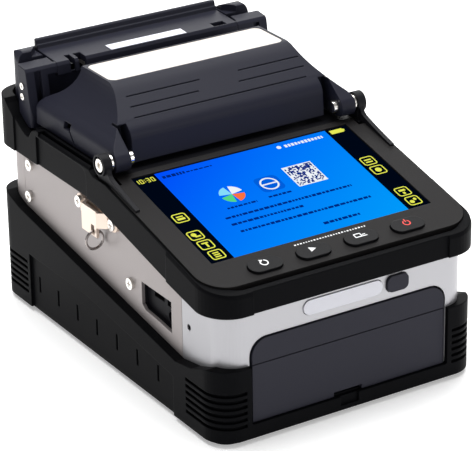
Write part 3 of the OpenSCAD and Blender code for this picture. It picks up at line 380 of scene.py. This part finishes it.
# Generic pictures: a disc in four wedges, a tile with a ring, and a block of random dots.
WEDGES = {"cyan": ((0.25, 0.75, 1.0), 100), "green": ((0.1, 0.7, 0.25), 190),
          "orange": ((1.0, 0.18, 0.05), 280), "white": ((0.9, 0.95, 1.0), 10)}
DISC_X, DISC_V, DISC_R = -20.2, 6.8, 5.6
WEDGE_POINTS, WEDGE_TURN = 10, 78
for name, (color, start) in WEDGES.items():
    wedge = [(DISC_X, DISC_V)] + circle(DISC_X, DISC_V, DISC_R, WEDGE_POINTS, start, WEDGE_TURN)
    flat_piece(f"screen_wedge_{name}", [wedge], lit(f"screen_{name}_wedge", color), LAYER_1, LAYER_2)
TILE_X, TILE_V = -1.4, 7.2
flat_piece("screen_tile", [rounded(TILE_X, TILE_V, 11.4, 10.6, 2.4)], TILE, LAYER_1, LAYER_2)
tile_mark = [ring(TILE_X, TILE_V, 4.3, 0.8), bar(TILE_X, TILE_V, 7.0, 0.8)]
flat_piece("screen_tile_mark", tile_mark, WHITE, LAYER_2, LAYER_3)
BLOCK_X, BLOCK_V, BLOCK_W, BLOCK_EDGE, CELLS = 16.6, 7.6, 13.4, 1.2, 19
DOT_SHARE, DOT_FILL = 0.5, 0.96
cell = BLOCK_W / CELLS
dots = []
for i in range(CELLS):
    for j in range(CELLS):
        if random.random() < DOT_SHARE:
            x = BLOCK_X - BLOCK_W / 2 + cell * (i + 0.5)
            v = BLOCK_V - BLOCK_W / 2 + cell * (j + 0.5)
            dots.append(bar(x, v, cell * DOT_FILL, cell * DOT_FILL))
block_ground = bar(BLOCK_X, BLOCK_V, BLOCK_W + BLOCK_EDGE, BLOCK_W + BLOCK_EDGE)
flat_piece("screen_block", [block_ground], WHITE, LAYER_1, LAYER_2)
flat_piece("screen_block_dots", dots, INK, LAYER_2, DOTS_TOP)


# ---------------------------------------------------------------- signs on the keys and the panel

WHITE_INK = material("legend_white", (0.85, 0.86, 0.88), 0.5)
RED_INK = material("legend_red", (0.75, 0.03, 0.02), 0.45)
# Thickness of the printing, in mm.
INK_T = 0.05


def legend(node, shapes, mat):
    """Printed sign on top of a key, which it rides on."""
    x, v, h = node_top(node)
    moved = [shifted(shape, x, v) for shape in shapes]
    flat_piece(node + "_sign", moved, mat, h, h + INK_T, NODES[node]["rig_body"])


arrow_head = [(-1.5, 3.2), (0.2, 2.6), (-1.2, 1.4)]
legend("key_reset", [arc_band(1.9, 0.55, 120, 310, 0.9), arrow_head], WHITE_INK)
legend("key_run", [[(-1.3, 2.4), (-1.3, -0.6), (1.7, 0.9)]], WHITE_INK)
view_sign = [frame_of(-0.9, 1.3, 3.4, 2.6, 0.4, 0.45), bar(1.9, 0.2, 2.6, 0.45), bar(1.9, 1.2, 1.6, 0.45)]
legend("key_view", view_sign, WHITE_INK)
legend("key_power", [arc_band(1.8, 0.5, 125, 290, 0.8), bar(0, 2.3, 0.5, 1.9)], RED_INK)
panel_h = node_top("bezel")[2]
caption = dashes(-16.5, 18.5, -35.3, 0.8, gap=0.7, low=0.5, high=0.9)
flat_piece("panel_caption", caption, WHITE_INK, panel_h, panel_h + INK_T, "base")


# ---------------------------------------------------------------- floor, light and camera

FLOOR_SIZE, FLOOR_GLOW, SKY = 8, 0.3, 0.35
# The floor lies a little below the feet.
FLOOR_DROP = 0.2 * MM
floor_white = material("floor_white", (0.92, 0.92, 0.92), 0.8, spec=0.2)
floor_shader = floor_white.node_tree.nodes["Principled BSDF"]
floor_shader.inputs["Emission Color"].default_value = (1, 1, 1, 1)
floor_shader.inputs["Emission Strength"].default_value = FLOOR_GLOW
bpy.ops.mesh.primitive_plane_add(size=FLOOR_SIZE, location=(0, 0, -FLOOR_DROP))
floor = bpy.context.object
floor.name = "floor"
floor.data.materials.append(floor_white)

world = bpy.data.worlds.new("studio")
scene.world = world
world.use_nodes = True
world.node_tree.nodes["Background"].inputs[0].default_value = (1, 1, 1, 1)
world.node_tree.nodes["Background"].inputs[1].default_value = SKY


# The lights aim at the middle of the machine.
AIM = Vector((0, 0, 0.05))


def area_light(name, location, size, power):
    """Soft box of the given width and height in metres, aimed at the machine."""
    data = bpy.data.lights.new(name, "AREA")
    data.shape = "RECTANGLE"
    data.size, data.size_y = size
    data.energy = power
    ob = bpy.data.objects.new(name, data)
    scene.collection.objects.link(ob)
    ob.location = location
    ob.rotation_euler = (AIM - ob.location).to_track_quat("-Z", "Y").to_euler()


area_light("overhead", (0.1, 0.25, 1.3), (1.4, 1.0), 26)
area_light("backdrop", (0.9, 1.3, 0.75), (1.3, 0.7), 9)
area_light("front", (0.5, -1.5, 0.6), (0.8, 0.6), 5)
area_light("side", (-1.5, -0.2, 0.55), (1.0, 0.6), 1.8)

# The photo's viewing angle: to the left of the front and above it, with a slight roll.
AZIMUTH, ELEVATION, ROLL = math.radians(-31.94), math.radians(24.06), math.radians(-0.893)
CAMERA_AT = (-0.53531, -0.86358, 0.50361)
# Focal length as a multiple of the picture's width.
FOCAL_PER_WIDTH = 5.408
backward = Vector((math.sin(AZIMUTH) * math.cos(ELEVATION),
                   -math.cos(AZIMUTH) * math.cos(ELEVATION),
                   math.sin(ELEVATION)))
level_right = (-backward).cross(Vector((0, 0, 1))).normalized()
level_up = level_right.cross(-backward)
cam_right = level_right * math.cos(ROLL) + level_up * math.sin(ROLL)
cam_up = level_up * math.cos(ROLL) - level_right * math.sin(ROLL)
turn = Matrix((cam_right, cam_up, backward)).transposed().to_4x4()
camera = bpy.data.objects.new("camera", bpy.data.cameras.new("camera"))
scene.collection.objects.link(camera)
camera.matrix_world = Matrix.Translation(CAMERA_AT) @ turn
camera.data.sensor_width = 36
camera.data.lens = camera.data.sensor_width * FOCAL_PER_WIDTH
camera.data.clip_start = 0.05
scene.camera = camera
